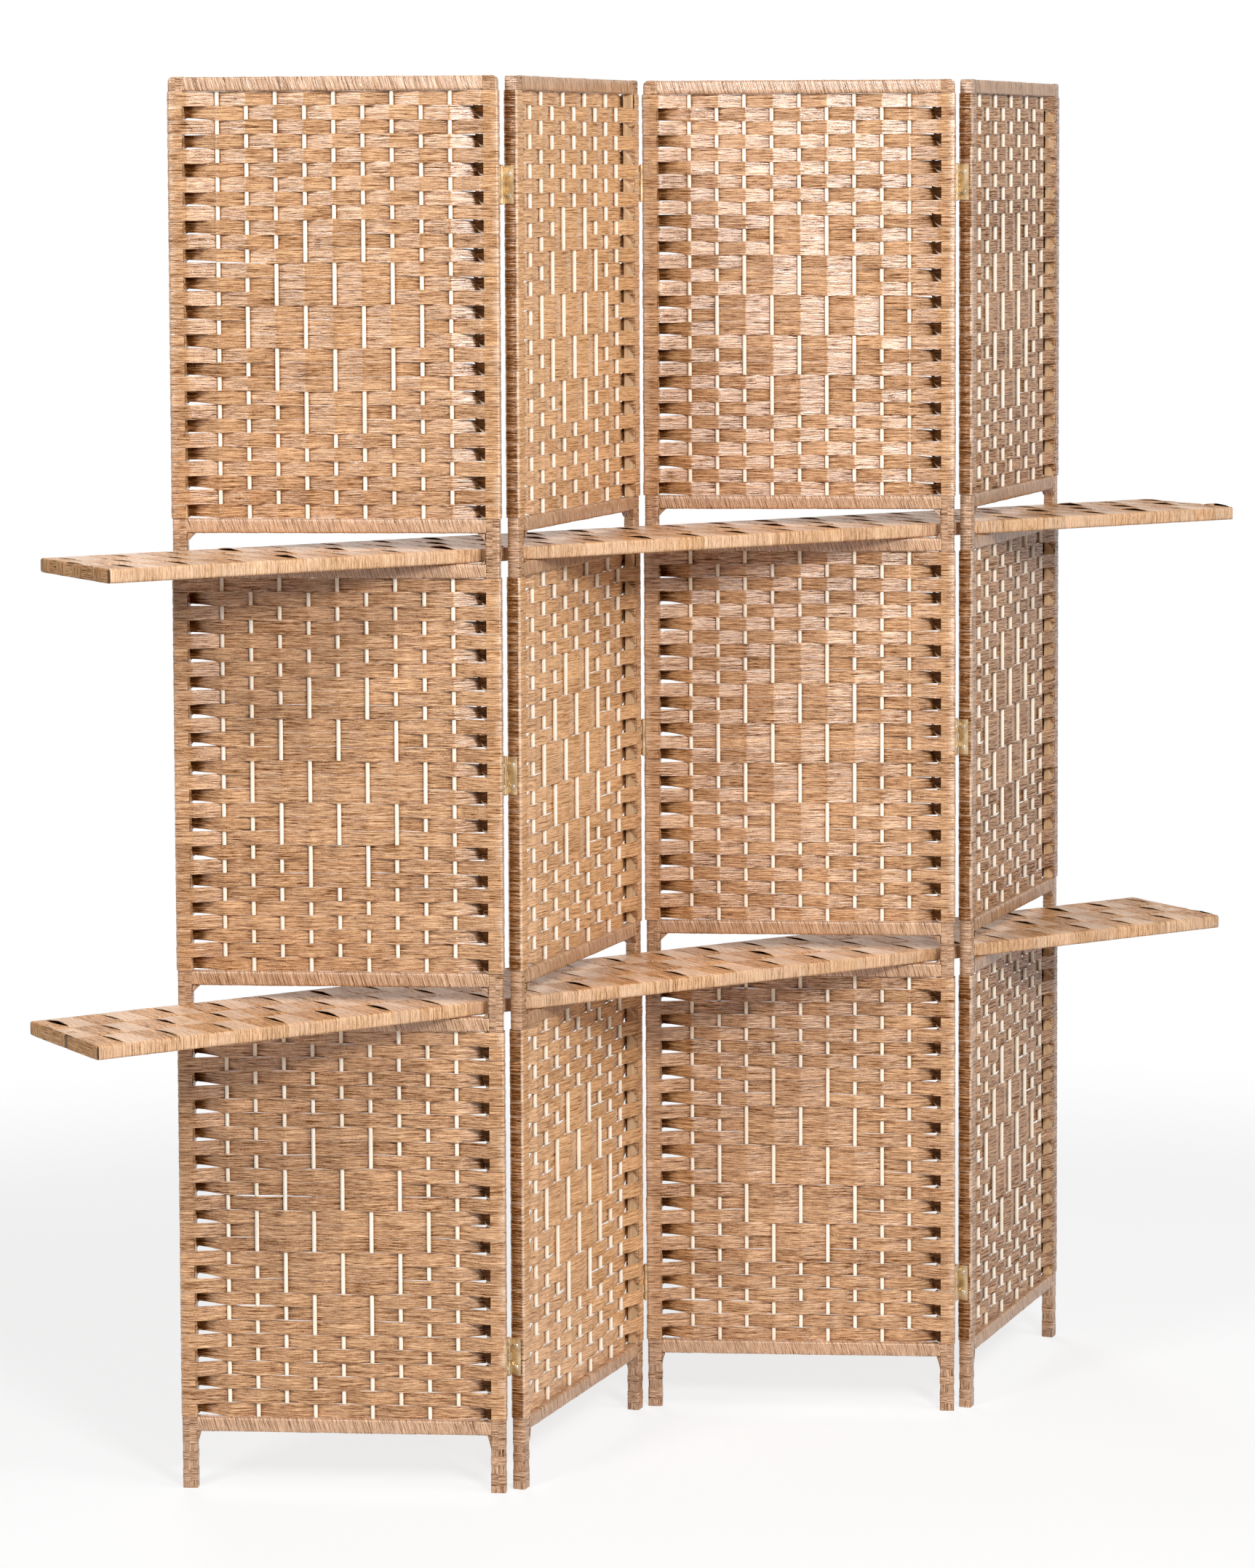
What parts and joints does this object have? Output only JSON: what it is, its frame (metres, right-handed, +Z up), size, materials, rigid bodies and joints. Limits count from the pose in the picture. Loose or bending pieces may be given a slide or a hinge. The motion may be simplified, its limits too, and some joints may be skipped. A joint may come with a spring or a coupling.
{
  "type": "folding screen",
  "caption": "Folding room divider of woven raffia panels in bound wooden frames, hinged in a zigzag, with two long shelves through slots.",
  "frame": {"origin": "on the floor, under the middle of the whole, shelves included", "axes": "+X along the shelves towards the right end, +Y towards the back, +Z up"},
  "size_m": [1.661, 0.2444, 1.7],
  "materials": {
    "woven_raffia": "matte flat raffia strips",
    "raffia_binding": "matte raffia wound tightly",
    "shelf_raffia": "matte woven raffia",
    "stick_wood": "plain, smooth",
    "frame_wood": "plain, sawn",
    "bound_wood": "wood bound with raffia",
    "hinge_brass": "antique, satin",
    "pin_brass": "antique, satin",
    "screw_brass": "antique, satin"
  },
  "bodies": {
    "panel_1": {"panel_1_left_stile": "frame_wood", "panel_1_right_stile": "frame_wood", "panel_1_rails": "frame_wood", "panel_1_frame_binding": "raffia_binding", "panel_1_corner_bindings": "raffia_binding", "panel_1_sticks": "stick_wood", "panel_1_lower_weave": "woven_raffia", "panel_1_middle_weave": "woven_raffia", "panel_1_upper_weave": "woven_raffia", "hinges_1_2_left_leaves": "hinge_brass", "hinges_1_2_pins": "pin_brass", "hinges_1_2_left_screws": "screw_brass"},
    "panel_2": {"panel_2_left_stile": "frame_wood", "panel_2_right_stile": "frame_wood", "panel_2_rails": "frame_wood", "panel_2_frame_binding": "raffia_binding", "panel_2_corner_bindings": "raffia_binding", "panel_2_sticks": "stick_wood", "panel_2_lower_weave": "woven_raffia", "panel_2_middle_weave": "woven_raffia", "panel_2_upper_weave": "woven_raffia", "hinges_2_3_left_leaves": "hinge_brass", "hinges_2_3_pins": "pin_brass", "hinges_2_3_left_screws": "screw_brass", "hinges_1_2_right_leaves": "hinge_brass", "hinges_1_2_right_screws": "screw_brass"},
    "panel_3": {"panel_3_left_stile": "frame_wood", "panel_3_right_stile": "frame_wood", "panel_3_rails": "frame_wood", "panel_3_frame_binding": "raffia_binding", "panel_3_corner_bindings": "raffia_binding", "panel_3_sticks": "stick_wood", "panel_3_lower_weave": "woven_raffia", "panel_3_middle_weave": "woven_raffia", "panel_3_upper_weave": "woven_raffia", "hinges_3_4_left_leaves": "hinge_brass", "hinges_3_4_pins": "pin_brass", "hinges_3_4_left_screws": "screw_brass", "hinges_2_3_right_leaves": "hinge_brass", "hinges_2_3_right_screws": "screw_brass"},
    "panel_4": {"panel_4_left_stile": "frame_wood", "panel_4_right_stile": "frame_wood", "panel_4_rails": "frame_wood", "panel_4_frame_binding": "raffia_binding", "panel_4_corner_bindings": "raffia_binding", "panel_4_sticks": "stick_wood", "panel_4_lower_weave": "woven_raffia", "panel_4_middle_weave": "woven_raffia", "panel_4_upper_weave": "woven_raffia", "hinges_3_4_right_leaves": "hinge_brass", "hinges_3_4_right_screws": "screw_brass"},
    "lower_shelf": {"lower_shelf_rails": "frame_wood", "lower_shelf_crossbars": "bound_wood", "lower_shelf_cover": "shelf_raffia"},
    "upper_shelf": {"upper_shelf_rails": "frame_wood", "upper_shelf_crossbars": "bound_wood", "upper_shelf_cover": "shelf_raffia"}
  },
  "joints": [
    {"name": "fold_1_2", "type": "hinge", "parent": "panel_2", "child": "panel_1", "pos_m": [-0.30028, -0.10895, 0.867], "axis": [0, 0, -1], "range_deg": [-1, 106]},
    {"name": "fold_2_3", "type": "hinge", "parent": "panel_2", "child": "panel_3", "pos_m": [0.0325, 0.10895, 0.867], "axis": [0, 0, -1], "range_deg": [-1, 106]},
    {"name": "fold_3_4", "type": "hinge", "parent": "panel_3", "child": "panel_4", "pos_m": [0.36528, -0.10895, 0.867], "axis": [0, 0, 1], "range_deg": [-1, 106]},
    {"name": "shelf_turn", "type": "hinge", "parent": "panel_2", "child": "lower_shelf", "pos_m": [-0.13389, 0, 0.58615], "axis": [0, 0, -1], "range_deg": [-0.5, 53]},
    {"name": "upper_shelf_slide", "type": "slide", "parent": "lower_shelf", "child": "upper_shelf", "axis": [1, 0, 0], "range_m": [-1.45, 1.5]}
  ],
  "couplings": [
    {"joint": "fold_2_3", "follows": "fold_1_2", "ratio": 1},
    {"joint": "fold_3_4", "follows": "fold_1_2", "ratio": 1},
    {"joint": "shelf_turn", "follows": "fold_1_2", "ratio": 0.5}
  ]
}
